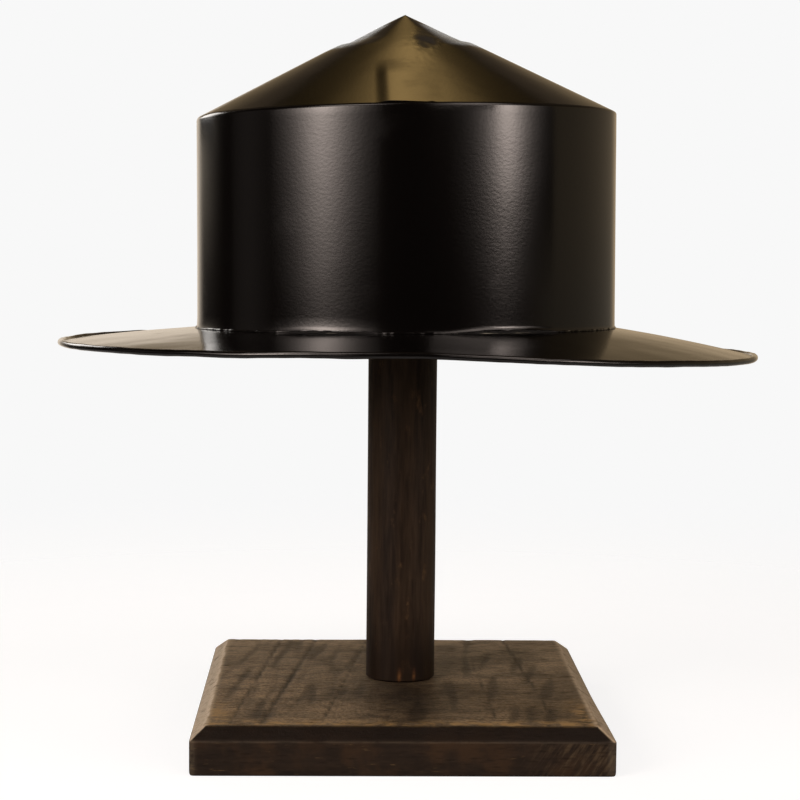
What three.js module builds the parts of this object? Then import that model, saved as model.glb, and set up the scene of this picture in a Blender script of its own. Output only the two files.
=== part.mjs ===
// Kettle hat of black painted sheet steel on a plain wooden display stand.
// Millimetres, +Z up. The origin is the middle of the stand board's underside, and the hat's front faces -Y.

import * as THREE from 'three';

// Stand
const BASE_WIDTH = 203;
const BASE_DEPTH = 233;
const BASE_THICKNESS = 23;
const BASE_CHAMFER_WIDTH = 7.5;
const BASE_CHAMFER_HEIGHT = 6.1;
const BASE_CORNER_RADIUS = 1.6;
const POST_X = 2;
const POST_Y = 8;
const POST_RADIUS = 18;
const POST_LENGTH = 342.6;

// Hat plates
const SHEET = 1.2;
const SEAM = 0.3;
const WALL_RADIUS = 108.5;
const WALL_HEIGHT = 110;
const WALL_RISE = 2.6; // the wall is this much taller on the right side than on the left
const WALL_LEAN = 0.2; // the wall's top is this far to the right of its foot
const FOOT_FLARE = 1.3;
const FOOT_FLARE_HEIGHT = 6;
const FLARE_SHARES = [1, 0.45, 0.12, 0]; // of the flare, at even heights up from the foot
const LIP_RADIUS = 3;
const CONE_SLOPE = THREE.MathUtils.degToRad(26.7);
const BRIM_ROUNDING = 0.2; // share of the brim's drop that follows a square law outwards
const BEAD_RADIUS = 1.6; // rolled edge
const BEAD_LIFT = 0.4; // rolled edge above the middle of the sheet

// The cone from its tip outwards: a rounded point, a hammered cap, and a flatter ring
// where the straight slope starts
const CONE_SECTIONS = [
  { radius: 0, fall: 0 },
  { radius: 2.5, fall: 0.9 },
  { radius: 24, fall: 12.1 },
  { radius: 37.5, fall: 16.3 },
];

// The rolled edge, going round from the right side by way of the back: its distance from the hat's axis,
// and how far it hangs below the wall's foot
const BRIM_SECTIONS = [
  { angle: 0, reach: 180.1, drop: 14.9 },
  { angle: 30, reach: 179.9, drop: 14.7 },
  { angle: 60, reach: 179.6, drop: 12.6 },
  { angle: 90, reach: 179.2, drop: 10.4 },
  { angle: 120, reach: 178.8, drop: 8.3 },
  { angle: 150, reach: 178.5, drop: 6.7 },
  { angle: 180, reach: 178.4, drop: 7.2 },
  { angle: 210, reach: 178.5, drop: 7.6 },
  { angle: 240, reach: 178.8, drop: 7.9 },
  { angle: 270, reach: 179.2, drop: 7.7 },
  { angle: 300, reach: 179.6, drop: 12 },
  { angle: 330, reach: 179.9, drop: 14.8 },
];

// How the hat sits on the post
const HAT_PITCH = THREE.MathUtils.degToRad(-1.37); // front edge up
const HAT_ROLL = THREE.MathUtils.degToRad(-0.42); // right edge up

// Facets
const HAT_STEPS = 96;
const POST_STEPS = 64;
const DOME_STEPS = 6;
const LIP_STEPS = 4;
const BEAD_STEPS = 10;
const CORNER_STEPS = 3;
const SEAT_STEPS = 60;

// Finishes
const blackPaint = new THREE.MeshStandardMaterial({ color: 0x14110e, roughness: 0.32, metalness: 0.1 });
const postWood = new THREE.MeshStandardMaterial({ color: 0x2e2218, roughness: 0.6, metalness: 0 });
const boardWood = new THREE.MeshStandardMaterial({ color: 0x463628, roughness: 0.7, metalness: 0 });

// A closed body of a section swept once round the Z axis; the section is a loop of [radius, height] by angle
function sweptRing(sectionAt, steps) {
  const sections = Array.from({ length: steps }, (_, i) => sectionAt((i / steps) * Math.PI * 2));
  const count = sections[0].length;
  const positions = [];
  sections.forEach((section, i) => {
    const angle = (i / steps) * Math.PI * 2;
    for (const [radius, height] of section) {
      positions.push(radius * Math.cos(angle), radius * Math.sin(angle), height);
    }
  });
  const triangles = [];
  for (let i = 0; i < steps; i++) {
    const here = i * count;
    const next = ((i + 1) % steps) * count;
    for (let j = 0; j < count; j++) {
      const k = (j + 1) % count;
      triangles.push(here + j, next + j, next + k);
      triangles.push(here + j, next + k, here + k);
    }
  }
  return indexedGeometry(positions, triangles);
}

// A closed body of convex outlines stacked upwards, each a list of [x, y] with a height, capped at both ends
function stackedOutlines(layers) {
  const count = layers[0].outline.length;
  const positions = [];
  for (const { outline, height } of layers) {
    for (const [x, y] of outline) {
      positions.push(x, y, height);
    }
  }
  const triangles = [];
  for (let i = 0; i + 1 < layers.length; i++) {
    for (let j = 0; j < count; j++) {
      const k = (j + 1) % count;
      triangles.push(i * count + j, i * count + k, (i + 1) * count + k);
      triangles.push(i * count + j, (i + 1) * count + k, (i + 1) * count + j);
    }
  }
  const top = (layers.length - 1) * count;
  for (let j = 1; j + 1 < count; j++) {
    triangles.push(0, j + 1, j);
    triangles.push(top, top + j, top + j + 1);
  }
  return indexedGeometry(positions, triangles);
}

function indexedGeometry(positions, triangles) {
  const geometry = new THREE.BufferGeometry();
  geometry.setAttribute('position', new THREE.Float32BufferAttribute(positions, 3));
  geometry.setIndex(triangles);
  geometry.computeVertexNormals();
  return geometry;
}

// Points on an arc in a radius and height plane
function arcPoints(centreRadius, centreHeight, arcRadius, from, to, steps) {
  return Array.from({ length: steps + 1 }, (_, i) => {
    const turn = THREE.MathUtils.lerp(from, to, i / steps);
    return [centreRadius + arcRadius * Math.cos(turn), centreHeight + arcRadius * Math.sin(turn)];
  });
}

// A smooth closed curve through the evenly spaced rows of a table
function aroundTable(rows, column, angle) {
  const place = (angle / (Math.PI * 2)) * rows.length;
  const row = Math.floor(place);
  const share = place - row;
  const [a, b, c, d] = [-1, 0, 1, 2].map((step) => rows[(row + step + rows.length) % rows.length][column]);
  const bend = 2 * a - 5 * b + 4 * c - d + share * (3 * (b - c) + d - a);
  return b + 0.5 * share * (c - a + share * bend);
}

// Upright wall: flared foot, straight side, and a top edge curled in to the slope of the cone
const LIP_TURN = Math.PI / 2 - CONE_SLOPE;

function wallSection(angle) {
  const lipRadius = WALL_RADIUS + WALL_LEAN * Math.cos(angle) - LIP_RADIUS;
  const lipHeight = WALL_HEIGHT + (WALL_RISE / 2) * Math.cos(angle) - LIP_RADIUS;
  const flare = FLARE_SHARES.map((share, i) => {
    const height = (i / (FLARE_SHARES.length - 1)) * FOOT_FLARE_HEIGHT;
    return [WALL_RADIUS + share * FOOT_FLARE, height];
  });
  return [
    ...flare,
    ...arcPoints(lipRadius, lipHeight, LIP_RADIUS, 0, LIP_TURN, LIP_STEPS),
    ...arcPoints(lipRadius, lipHeight, LIP_RADIUS - SHEET, LIP_TURN, 0, LIP_STEPS),
    ...flare.toReversed().map(([radius, height]) => [radius - SHEET, height]),
  ];
}

// Conical plate: its edge lies one seam up the slope from the wall's curled edge
const EDGE_RADIUS = WALL_RADIUS + LIP_RADIUS * (Math.cos(LIP_TURN) - 1) - SEAM * Math.cos(CONE_SLOPE);
const EDGE_HEIGHT = LIP_RADIUS * (Math.sin(LIP_TURN) - 1) + SEAM * Math.sin(CONE_SLOPE);

function slopeHeight(radius) {
  return EDGE_HEIGHT + (EDGE_RADIUS - radius) * Math.tan(CONE_SLOPE);
}

const slopeStart = CONE_SECTIONS.at(-1);
const TIP_HEIGHT = slopeHeight(slopeStart.radius) + slopeStart.fall;

function coneHeight(radius) {
  const outer = CONE_SECTIONS.findIndex((section) => section.radius > radius);
  if (outer < 0) {
    return slopeHeight(radius);
  }
  const [a, b] = CONE_SECTIONS.slice(outer - 1, outer + 1);
  const share = (radius - a.radius) / (b.radius - a.radius);
  return TIP_HEIGHT - THREE.MathUtils.lerp(a.fall, b.fall, share);
}

function coneUnderside(radius) {
  return coneHeight(radius) - SHEET / Math.cos(CONE_SLOPE);
}

function coneGeometry() {
  const innerEdgeRadius = EDGE_RADIUS - SHEET * Math.sin(CONE_SLOPE);
  const radii = CONE_SECTIONS.map((section) => section.radius);
  const profile = [
    ...[...radii, innerEdgeRadius].map((radius) => new THREE.Vector2(radius, coneUnderside(radius))),
    ...[EDGE_RADIUS, ...radii.toReversed()].map((radius) => new THREE.Vector2(radius, coneHeight(radius))),
  ];
  return new THREE.LatheGeometry(profile, HAT_STEPS).rotateX(Math.PI / 2);
}

// Brim: a sheet that falls away from the wall's foot, ending in the rolled edge
const BRIM_INNER_RADIUS = WALL_RADIUS + FOOT_FLARE - SHEET;
const BRIM_SHARES = [0, 0.35, 0.7];

function brimSection(angle) {
  const beadHeight = -aroundTable(BRIM_SECTIONS, 'drop', angle);
  const reach = aroundTable(BRIM_SECTIONS, 'reach', angle);
  const innerHeight = -SEAM - SHEET / 2;
  const fall = innerHeight - (beadHeight - BEAD_LIFT);
  const sheetPoint = (share, side) => [
    THREE.MathUtils.lerp(BRIM_INNER_RADIUS, reach, share),
    innerHeight - fall * share * (1 - BRIM_ROUNDING + BRIM_ROUNDING * share) + (side * SHEET) / 2,
  ];
  const underTurn = Math.asin((SHEET / 2 + BEAD_LIFT) / BEAD_RADIUS) - Math.PI;
  const overTurn = Math.PI - Math.asin((SHEET / 2 - BEAD_LIFT) / BEAD_RADIUS);
  return [
    ...BRIM_SHARES.map((share) => sheetPoint(share, -1)),
    ...arcPoints(reach, beadHeight, BEAD_RADIUS, underTurn, overTurn, BEAD_STEPS),
    ...BRIM_SHARES.toReversed().map((share) => sheetPoint(share, 1)),
  ];
}

// Stand post: a round bar whose top is rounded to a half ball
function postGeometry() {
  const dome = arcPoints(0, POST_LENGTH - POST_RADIUS, POST_RADIUS, 0, Math.PI / 2, DOME_STEPS);
  const outline = [[0, 0], [POST_RADIUS, 0], ...dome.slice(0, -1), [0, POST_LENGTH]];
  const profile = outline.map(([radius, height]) => new THREE.Vector2(radius, height));
  return new THREE.LatheGeometry(profile, POST_STEPS).rotateX(Math.PI / 2);
}

// Stand board: upright sides, then a chamfer all round to the top face
function boardOutline(inset) {
  const halfWidth = BASE_WIDTH / 2 - inset;
  const halfDepth = BASE_DEPTH / 2 - inset;
  const centres = [[1, 1], [-1, 1], [-1, -1], [1, -1]];
  return centres.flatMap(([sideX, sideY], i) => arcPoints(
    sideX * (halfWidth - BASE_CORNER_RADIUS),
    sideY * (halfDepth - BASE_CORNER_RADIUS),
    BASE_CORNER_RADIUS,
    (i * Math.PI) / 2,
    ((i + 1) * Math.PI) / 2,
    CORNER_STEPS,
  ));
}

function boardGeometry() {
  return stackedOutlines([
    { outline: boardOutline(0), height: 0 },
    { outline: boardOutline(0), height: BASE_THICKNESS - BASE_CHAMFER_HEIGHT },
    { outline: boardOutline(BASE_CHAMFER_WIDTH), height: BASE_THICKNESS },
  ]);
}

function piece(name, geometry, material) {
  const mesh = new THREE.Mesh(geometry, material);
  mesh.name = name;
  return mesh;
}

// The plates are drawn with the wall's foot at height zero
const coneTop = piece('cone_top', coneGeometry(), blackPaint);
coneTop.position.set(WALL_LEAN, 0, WALL_HEIGHT);
coneTop.rotation.y = -Math.atan(WALL_RISE / (2 * WALL_RADIUS));

const plates = new THREE.Group();
plates.add(coneTop);
plates.add(piece('crown_wall', sweptRing(wallSection, HAT_STEPS), blackPaint));
plates.add(piece('brim', sweptRing(brimSection, HAT_STEPS), blackPaint));

// The cone rests one seam above the post's half ball, so the hat leans about the middle of that ball
function ballHeightUnderCone() {
  const clearRadius = POST_RADIUS + SEAM;
  const heights = Array.from({ length: SEAT_STEPS }, (_, i) => {
    const radius = (i / SEAT_STEPS) * clearRadius;
    return coneUnderside(radius) - Math.sqrt(clearRadius ** 2 - radius ** 2);
  });
  return Math.min(...heights);
}

const ballMiddle = new THREE.Vector3(0, 0, ballHeightUnderCone());
ballMiddle.applyEuler(coneTop.rotation).add(coneTop.position);
plates.position.copy(ballMiddle).negate();

const hat = new THREE.Group();
hat.add(plates);
hat.position.set(POST_X, POST_Y, BASE_THICKNESS + SEAM + POST_LENGTH - POST_RADIUS);
hat.rotation.set(HAT_PITCH, HAT_ROLL, 0, 'YXZ');

const post = piece('stand_post', postGeometry(), postWood);
post.position.set(POST_X, POST_Y, BASE_THICKNESS + SEAM);

const model = new THREE.Group();
model.add(hat);
model.add(post);
model.add(piece('stand_base', boardGeometry(), boardWood));

export default model;
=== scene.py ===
# %% [markdown]
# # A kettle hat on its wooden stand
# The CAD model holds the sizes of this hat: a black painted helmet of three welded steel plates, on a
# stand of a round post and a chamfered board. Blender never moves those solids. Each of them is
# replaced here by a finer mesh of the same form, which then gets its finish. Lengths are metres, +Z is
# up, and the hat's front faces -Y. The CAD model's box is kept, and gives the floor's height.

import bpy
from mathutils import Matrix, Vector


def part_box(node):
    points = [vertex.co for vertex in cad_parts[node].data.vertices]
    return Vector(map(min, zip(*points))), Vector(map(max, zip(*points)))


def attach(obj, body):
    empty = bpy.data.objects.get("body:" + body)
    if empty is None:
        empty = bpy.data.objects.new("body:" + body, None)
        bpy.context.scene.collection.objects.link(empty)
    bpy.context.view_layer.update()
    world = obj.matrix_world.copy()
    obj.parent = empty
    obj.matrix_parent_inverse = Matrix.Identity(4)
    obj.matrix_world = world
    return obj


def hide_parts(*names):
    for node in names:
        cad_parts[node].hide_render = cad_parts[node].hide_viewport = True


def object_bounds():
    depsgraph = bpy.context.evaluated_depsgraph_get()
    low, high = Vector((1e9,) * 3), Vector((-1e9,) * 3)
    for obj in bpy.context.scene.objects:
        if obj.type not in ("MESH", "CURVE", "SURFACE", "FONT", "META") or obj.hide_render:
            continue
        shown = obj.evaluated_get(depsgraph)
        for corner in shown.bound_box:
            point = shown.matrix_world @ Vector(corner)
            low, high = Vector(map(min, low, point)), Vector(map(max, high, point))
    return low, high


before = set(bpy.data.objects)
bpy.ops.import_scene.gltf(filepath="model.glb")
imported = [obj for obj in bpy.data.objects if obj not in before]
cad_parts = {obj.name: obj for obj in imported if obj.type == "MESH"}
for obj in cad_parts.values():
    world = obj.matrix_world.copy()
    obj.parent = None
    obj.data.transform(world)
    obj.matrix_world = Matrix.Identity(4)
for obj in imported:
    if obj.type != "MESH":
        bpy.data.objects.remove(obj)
cad_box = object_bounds()
print("CAD nodes:", ", ".join(sorted(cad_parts)))

# %% [markdown]
# ## The camera
# A camera is three turns and a place. It starts looking straight down with its top towards +Y, so a
# quarter turn about X makes it look along +Y. The pitch, the turn to the side and the small roll were
# worked out from the edges of the board and the post, which are known to be level and upright. A long
# lens from over a metre away keeps the perspective mild.

# %% Place the camera
import math

import bpy
from mathutils import Matrix

CAMERA_PLACE = (-0.0295, -1.1887, 0.2731)
CAMERA_LENS = 103.06
CAMERA_DOWN = math.radians(4.93)
CAMERA_TO_RIGHT = math.radians(1.445)
CAMERA_ROLL = math.radians(0.5)

scene = bpy.context.scene
camera = bpy.data.objects.new("camera", bpy.data.cameras.new("camera"))
camera.data.lens = CAMERA_LENS
camera.matrix_world = (
    Matrix.Translation(CAMERA_PLACE)
    @ Matrix.Rotation(-CAMERA_TO_RIGHT, 4, "Z")
    @ Matrix.Rotation(math.pi / 2 - CAMERA_DOWN, 4, "X")
    @ Matrix.Rotation(CAMERA_ROLL, 4, "Z")
)
scene.collection.objects.link(camera)
scene.camera = camera
print("Camera lens", CAMERA_LENS, "mm at", CAMERA_PLACE)

# %% [markdown]
# ## Round pieces as grids
# All the hat's plates and the post are round, so each is a grid: one section for every step of a turn,
# and the same number of points in each section. Blender's Spin or Screw would make them too, but arrays
# let every point be pushed about by hand-made unevenness before the mesh exists. A section either
# closes on itself, as for a ring, or starts and ends on the axis, where its points are merged.

# %% Points and faces of a grid
import numpy as np

MM = 0.001


def turn_angles(turns):
    """Evenly spaced angles from the right side (+X) by way of the back (+Y), as a column."""
    return (np.arange(turns) / turns * math.tau)[:, None]


def ring_points(radius, height):
    """Points from the radius and height of each section's points, a row for each step of the turn."""
    angle = turn_angles(len(radius))
    return np.stack([radius * np.cos(angle), radius * np.sin(angle), height + 0 * angle], axis=-1)


def grid_faces(turns, count, closed):
    """Four-sided faces between neighbouring sections, closed round the turn and, for a ring, along it."""
    here = np.arange(turns * count).reshape(turns, count)
    beside = np.roll(here, -1, axis=0)
    faces = np.stack([here, beside, np.roll(beside, -1, axis=1), np.roll(here, -1, axis=1)], axis=-1)
    return (faces if closed else faces[:, :-1]).reshape(-1, 4)


print("A ring of 8 sections with 5 points each has", len(grid_faces(8, 5, True)), "faces")

# %% A piece from points and faces
import bmesh

SHARP_ANGLE = math.radians(38)
MERGE_DISTANCE = 1e-7


def mesh_piece(name, points, faces, place):
    """A smooth shaded object of those points and faces, with doubled points merged."""
    mesh = bpy.data.meshes.new(name)
    mesh.from_pydata(points.reshape(-1, 3).tolist(), [], faces.tolist())
    shape = bmesh.new()
    shape.from_mesh(mesh)
    bmesh.ops.remove_doubles(shape, verts=shape.verts, dist=MERGE_DISTANCE)
    bmesh.ops.recalc_face_normals(shape, faces=shape.faces)
    shape.to_mesh(mesh)
    shape.free()
    mesh.shade_smooth()
    mesh.set_sharp_from_angle(angle=SHARP_ANGLE)
    piece = bpy.data.objects.new(name, mesh)
    piece.matrix_world = place
    scene.collection.objects.link(piece)
    print(f"{name}: {len(mesh.vertices)} points, {len(mesh.polygons)} faces")
    return piece


def round_piece(name, radius, height, place, closed=True):
    """A piece from the radius and height of each section's points."""
    points = ring_points(radius, height)
    return mesh_piece(name, points, grid_faces(*points.shape[:2], closed), place)


# %% [markdown]
# ## Hand-made unevenness
# Sheet that was rolled, hammered and welded by hand is never quite true, and glossy paint shows it: the
# edges of every reflection wander. Perlin noise gives smooth lumps of a chosen size. A modifier could
# displace a finished mesh, but as numbers the two sides of a sheet move together and keep its thickness.
# A piece's table gives the height and size of its lumps, and a layer that makes them unlike all others.
# The height is a length, or a share of what the lumps change.

# %% Smooth lumps
from mathutils import Vector, noise

LAYER_STEP = Vector((17.3, 5.9, 11.1))


def lumps(points, size, layer):
    """Smooth unevenness from about -1 to 1 at each point, in lumps of that size."""
    shift = LAYER_STEP * layer
    values = [noise.noise(Vector(point) + shift) for point in (points / size).reshape(-1, 3)]
    return np.array(values).reshape(points.shape[:-1])


def uneven(points, table):
    """The sum of the lumps in a table."""
    return sum(height * lumps(points, size, layer) for height, size, layer in table)


def ramp(value, start, end):
    """0 before start, 1 after end, and a smooth rise between them."""
    share = np.clip((value - start) / (end - start), 0, 1)
    return share * share * (3 - 2 * share)


sample = lumps(ring_points(np.ones((360, 1)), 0), 0.1, 1)
print(f"Lumps round a ring run from {sample.min():.2f} to {sample.max():.2f}")

# %% [markdown]
# ## Where the hat sits
# The hat rests with its cone on the rounded end of the post, leaning a little: its front edge and its
# right edge are up. Its plates are drawn with the wall's foot at height zero and the hat's axis on Z, and
# one matrix carries them to the post, whose round end is read from the CAD box. Only the cone is drawn from
# the wall's top, and tipped with it first.

# %% Carry the hat to the post
HAT_PITCH = math.radians(-1.37)
HAT_ROLL = math.radians(-0.42)
FOOT_BELOW_BALL = Vector((0.35, 0, -139.28)) * MM

post_low, post_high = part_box("stand_post")
post_radius = (post_high.x - post_low.x) / 2
ball_middle = Vector((post_low.x + post_radius, post_low.y + post_radius, post_high.z - post_radius))
HAT_PLACE = (
    Matrix.Translation(ball_middle)
    @ Matrix.Rotation(HAT_ROLL, 4, "Y")
    @ Matrix.Rotation(HAT_PITCH, 4, "X")
    @ Matrix.Translation(FOOT_BELOW_BALL)
)
print("Wall's foot is centred at", [round(x, 4) for x in HAT_PLACE.translation])

# %% [markdown]
# ## The wall
# The upright wall is one strip of sheet, rolled round and welded. It narrows a little downwards, and its
# foot is flared and does not touch the brim everywhere. Its top edge is curled in to the slope of the
# cone, in a wider curl on the left than on the right. A plain cylinder would give straight, dead
# reflections, and about a tenth of a millimetre of wandering brings them to life.

# %% Sizes of the wall
SHEET = 1.2 * MM
SEAM = 0.3 * MM
WALL_RADIUS = 108.5 * MM
WALL_HEIGHT = 108.65 * MM
WALL_RISE = 3 * MM
WALL_LEAN = 0.2 * MM
WALL_TAPER = 0.1 * MM
WALL_TURNS = 900
WALL_LUMPS = ((0.12 * MM, 60 * MM, 3), (0.02 * MM, 16 * MM, 4))
FOOT_LUMPS = ((0.25 * MM, 4 * MM, 1), (0.25 * MM, 13 * MM, 2))
CONE_SLOPE = math.radians(26.7)
CURL_TURN = math.pi / 2 - CONE_SLOPE
CURL_MIDDLE = 1.9 * MM
CURL_LEFT_MORE = 0.6 * MM
CURL_ROWS = 9


def curl_radius(angle):
    """Radius of the curl at the wall's top, widest on the left."""
    return CURL_MIDDLE - CURL_LEFT_MORE * np.cos(angle)


print(f"Wall {2 * WALL_RADIUS / MM:.0f} mm across and {WALL_HEIGHT / MM:.1f} mm high")

# %% [markdown]
# The foot stands clear of the brim in a few stretches, most of all under the two lights in front. Each is
# a row of a table: its middle and half its width, in degrees round the turn, and its lift in millimetres.

# %% How far the wall's foot stands clear of the brim
GAPS = ((248, 18, 0.9), (296, 19, 1.3), (30, 14, 0.6), (115, 22, 0.7))
GAP_FLAT_SHARE = 0.3
HIGHEST_GAP = max(lift for _, _, lift in GAPS) * MM


def foot_lift(angle):
    """Height of the foot's edge over the place where it would touch the brim."""
    highest = 0 * angle
    for middle, half_width, lift in GAPS:
        off = np.abs((angle - math.radians(middle) + math.pi) % math.tau - math.pi)
        share = 1 - ramp(off / math.radians(half_width), GAP_FLAT_SHARE, 1)
        highest = np.maximum(highest, lift * MM * share)
    return highest


print(f"The foot stands clear in {len(GAPS)} places, by {HIGHEST_GAP / MM:.1f} mm at most")

# %% [markdown]
# The last few millimetres of the wall splay outwards, most on the left, and catch the light there as a
# glow over the foot. The very edge flares more, and most where no weld holds it.

# %% The wall's radius at each height
SPLAY = 0.3 * MM
SPLAY_HEIGHT = 7 * MM
SPLAY_RIGHT_SHARE = 0.15
SPLAY_FADE = (-0.3, 0.2)
FLARE = 0.35 * MM
FLARE_HEIGHT = 1.8 * MM
FLARE_WELDED_SHARE = 0.4


def bent_out(above_edge, height):
    """1 at the foot's edge, falling to 0 at that height over it."""
    return np.maximum(1 - above_edge / height, 0) ** 2


def wall_radius(angle, height):
    """Radius of the wall's outside below its curl."""
    to_right = np.cos(angle)
    down = 1 - height / WALL_HEIGHT
    above_edge = np.maximum(height - foot_lift(angle), 0)
    splay_share = SPLAY_RIGHT_SHARE + (1 - SPLAY_RIGHT_SHARE) * ramp(-to_right, *SPLAY_FADE)
    flare_share = FLARE_WELDED_SHARE + (1 - FLARE_WELDED_SHARE) * foot_lift(angle) / HIGHEST_GAP
    splay = SPLAY * splay_share * bent_out(above_edge, SPLAY_HEIGHT)
    flare = FLARE * flare_share * bent_out(above_edge, FLARE_HEIGHT)
    return WALL_RADIUS + WALL_LEAN * to_right * (1 - down) - WALL_TAPER * down + splay + flare


print(f"On the left the foot is {wall_radius(math.pi, 0) / MM:.2f} mm from the axis")

# %% Build the wall
SPLAY_CROWDING = 1.6

angle = turn_angles(WALL_TURNS)
foot = foot_lift(angle) + uneven(ring_points(WALL_RADIUS + 0 * angle, 0 * angle), FOOT_LUMPS)
curl = curl_radius(angle)
curl_height = (
    WALL_HEIGHT
    + WALL_RISE / 2 * np.cos(angle)
    + curl * (math.tan(CONE_SLOPE) - 1 / math.cos(CONE_SLOPE))
)
curl_turns = np.linspace(0, CURL_TURN, CURL_ROWS)[None, :]


def wall_side(splay_rows, side_rows, thickness):
    """Radius and height of one side of the sheet: splayed foot, straight side and curl."""
    splay_height = foot + SPLAY_HEIGHT * np.linspace(0, 1, splay_rows)[None, :] ** SPLAY_CROWDING
    side_height = np.linspace(0, 1, side_rows)[None, 1:-1] * (curl_height - foot - SPLAY_HEIGHT)
    straight = np.concatenate([splay_height, foot + SPLAY_HEIGHT + side_height], axis=1)
    curl_start = WALL_RADIUS + WALL_LEAN * np.cos(angle) - curl
    radius = [wall_radius(angle, straight) - thickness, curl_start + (curl - thickness) * np.cos(curl_turns)]
    height = [straight, curl_height + (curl - thickness) * np.sin(curl_turns)]
    return np.concatenate(radius, axis=1), np.concatenate(height, axis=1)


outside = wall_side(splay_rows=15, side_rows=32, thickness=0)
inside = wall_side(splay_rows=6, side_rows=10, thickness=SHEET)
wall_rows, wall_heights = (np.concatenate([o, i[:, ::-1]], axis=1) for o, i in zip(outside, inside))
wander = uneven(ring_points(WALL_RADIUS + 0 * wall_rows, wall_heights), WALL_LUMPS)
wall = round_piece("wall_sheet", wall_rows + wander, wall_heights, HAT_PLACE)

# %% [markdown]
# ## The brim
# The brim is a dished ring that a hammer has pulled out of true: it hangs lower on the right than on the
# left. Its outer edge is rolled over into a bead, which stands a little above the sheet. Two short tables,
# of the reach and the drop of the edge at every 30 degrees, are each joined by a smooth closed curve, so
# that the warp has no corners.

# %% Sizes of the brim
BRIM_INNER = WALL_RADIUS - SHEET / 2
BRIM_ROUNDING = 0.2
BRIM_REACH = MM * np.array(
    [180.1, 179.9, 179.6, 179.2, 178.8, 178.5, 178.4, 178.5, 178.8, 179.2, 179.6, 179.9]
)
BRIM_DROP = MM * np.array([14.9, 14.7, 12.6, 10.4, 8.3, 6.7, 7.2, 7.6, 7.9, 7.7, 12.0, 14.8])
BRIM_TURNS = 600
BRIM_ROWS = 40
BRIM_LUMPS = ((0.25 * MM, 38 * MM, 8), (0.05 * MM, 13 * MM, 9))
REACH_LUMPS = ((0.35 * MM, 35 * MM, 5),)
DROP_LUMPS = ((0.3 * MM, 28 * MM, 6),)
BEAD_RADIUS = 1.6 * MM
BEAD_LIFT = 0.4 * MM
BEAD_ROWS = 20
BEAD_LUMPS = ((0.1, 9 * MM, 7),)


def around(values, turns):
    """A smooth closed curve through evenly spaced values, read at evenly spaced turns, as a column."""
    place = np.arange(turns) / turns * len(values)
    row = place.astype(int)
    share = place - row
    a, b, c, d = (np.take(values, row + step, mode="wrap") for step in (-1, 0, 1, 2))
    bend = 2 * a - 5 * b + 4 * c - d + share * (3 * (b - c) + d - a)
    return (b + 0.5 * share * (c - a + share * bend))[:, None]


print(f"Brim reaches {BRIM_REACH.max() / MM:.1f} mm from the axis and drops {BRIM_DROP.max() / MM:.1f} mm")

# %% The brim's bead and sheet
rim_line = ring_points(around(BRIM_REACH, BRIM_TURNS), 0)
reach = around(BRIM_REACH, BRIM_TURNS) + uneven(rim_line, REACH_LUMPS)
bead_height = -around(BRIM_DROP, BRIM_TURNS) + uneven(rim_line, DROP_LUMPS)
bead = BEAD_RADIUS * (1 + uneven(rim_line, BEAD_LUMPS))

inner_height = -SEAM - SHEET / 2
brim_shares = np.linspace(0, 1, BRIM_ROWS)[None, :-1]
dished = brim_shares * (1 - BRIM_ROUNDING + BRIM_ROUNDING * brim_shares)
sheet_radius = BRIM_INNER + (reach - BRIM_INNER) * brim_shares
sheet_height = inner_height - (inner_height - bead_height + BEAD_LIFT) * dished
hammered = uneven(ring_points(sheet_radius, 0 * sheet_radius), BRIM_LUMPS)
sheet_height = sheet_height + np.sin(np.pi * brim_shares) * hammered
print(f"Bead is {2 * bead.min() / MM:.1f} to {2 * bead.max() / MM:.1f} mm thick")

# %% Build the brim
under_turn = np.arcsin((SHEET / 2 + BEAD_LIFT) / bead) - np.pi
over_turn = np.pi - np.arcsin((SHEET / 2 - BEAD_LIFT) / bead)
bead_turn = under_turn + (over_turn - under_turn) * np.linspace(0, 1, BEAD_ROWS)[None, :]
under_sheet = sheet_height - SHEET / 2
over_sheet = sheet_height[:, ::-1] + SHEET / 2
brim_rows = [sheet_radius, reach + bead * np.cos(bead_turn), sheet_radius[:, ::-1]]
brim_heights = [under_sheet, bead_height + bead * np.sin(bead_turn), over_sheet]
brim = round_piece(
    "brim_sheet", np.concatenate(brim_rows, axis=1), np.concatenate(brim_heights, axis=1), HAT_PLACE
)

# %% [markdown]
# ## The weld at the wall's foot
# The wall is joined to the brim by a thin run of weld, which shows as a lumpy line in the corner. It is a
# ring of small round section. Where the foot stands clear of the brim, the weld lies back in the gap and
# fills its height.

# %% Build the weld
WELD_RADIUS = 0.5 * MM
WELD_BACK = 2.5 * MM
WELD_SUNK = 0.1 * MM
WELD_THINNING = 0.5
WELD_LUMPS = ((0.5, 2.2 * MM, 10), (0.7, 7 * MM, 11))
WELD_TURNS = 1100
WELD_SIDES = 12

weld_angle = turn_angles(WELD_TURNS)
weld_lift = foot_lift(weld_angle)
in_gap = weld_lift / HIGHEST_GAP
weld_middle = wall_radius(weld_angle, 0 * weld_angle)
weld_lumps = uneven(ring_points(weld_middle, 0 * weld_angle), WELD_LUMPS)
weld_size = WELD_RADIUS * (1 + weld_lumps) * (1 - WELD_THINNING * in_gap)
weld_turn = np.linspace(0, math.tau, WELD_SIDES, endpoint=False)[None, :]
weld_rows = weld_middle - WELD_BACK * in_gap + weld_size * np.cos(weld_turn)
weld_heights = weld_lift / 2 - WELD_SUNK + (weld_size + weld_lift / 2) * np.sin(weld_turn)
weld = round_piece("foot_weld", weld_rows, weld_heights, HAT_PLACE)

# %% [markdown]
# The spray did not reach into the gaps, so the weld is burnt and matt there, and the gap shows dark. That
# is kept as an attribute of the mesh, a number for each point, which the material reads by its name. A
# second material on some faces would give a hard edge instead.

# %% Mark the burnt weld
BURNT_LIFT = 0.6 * MM


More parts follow.
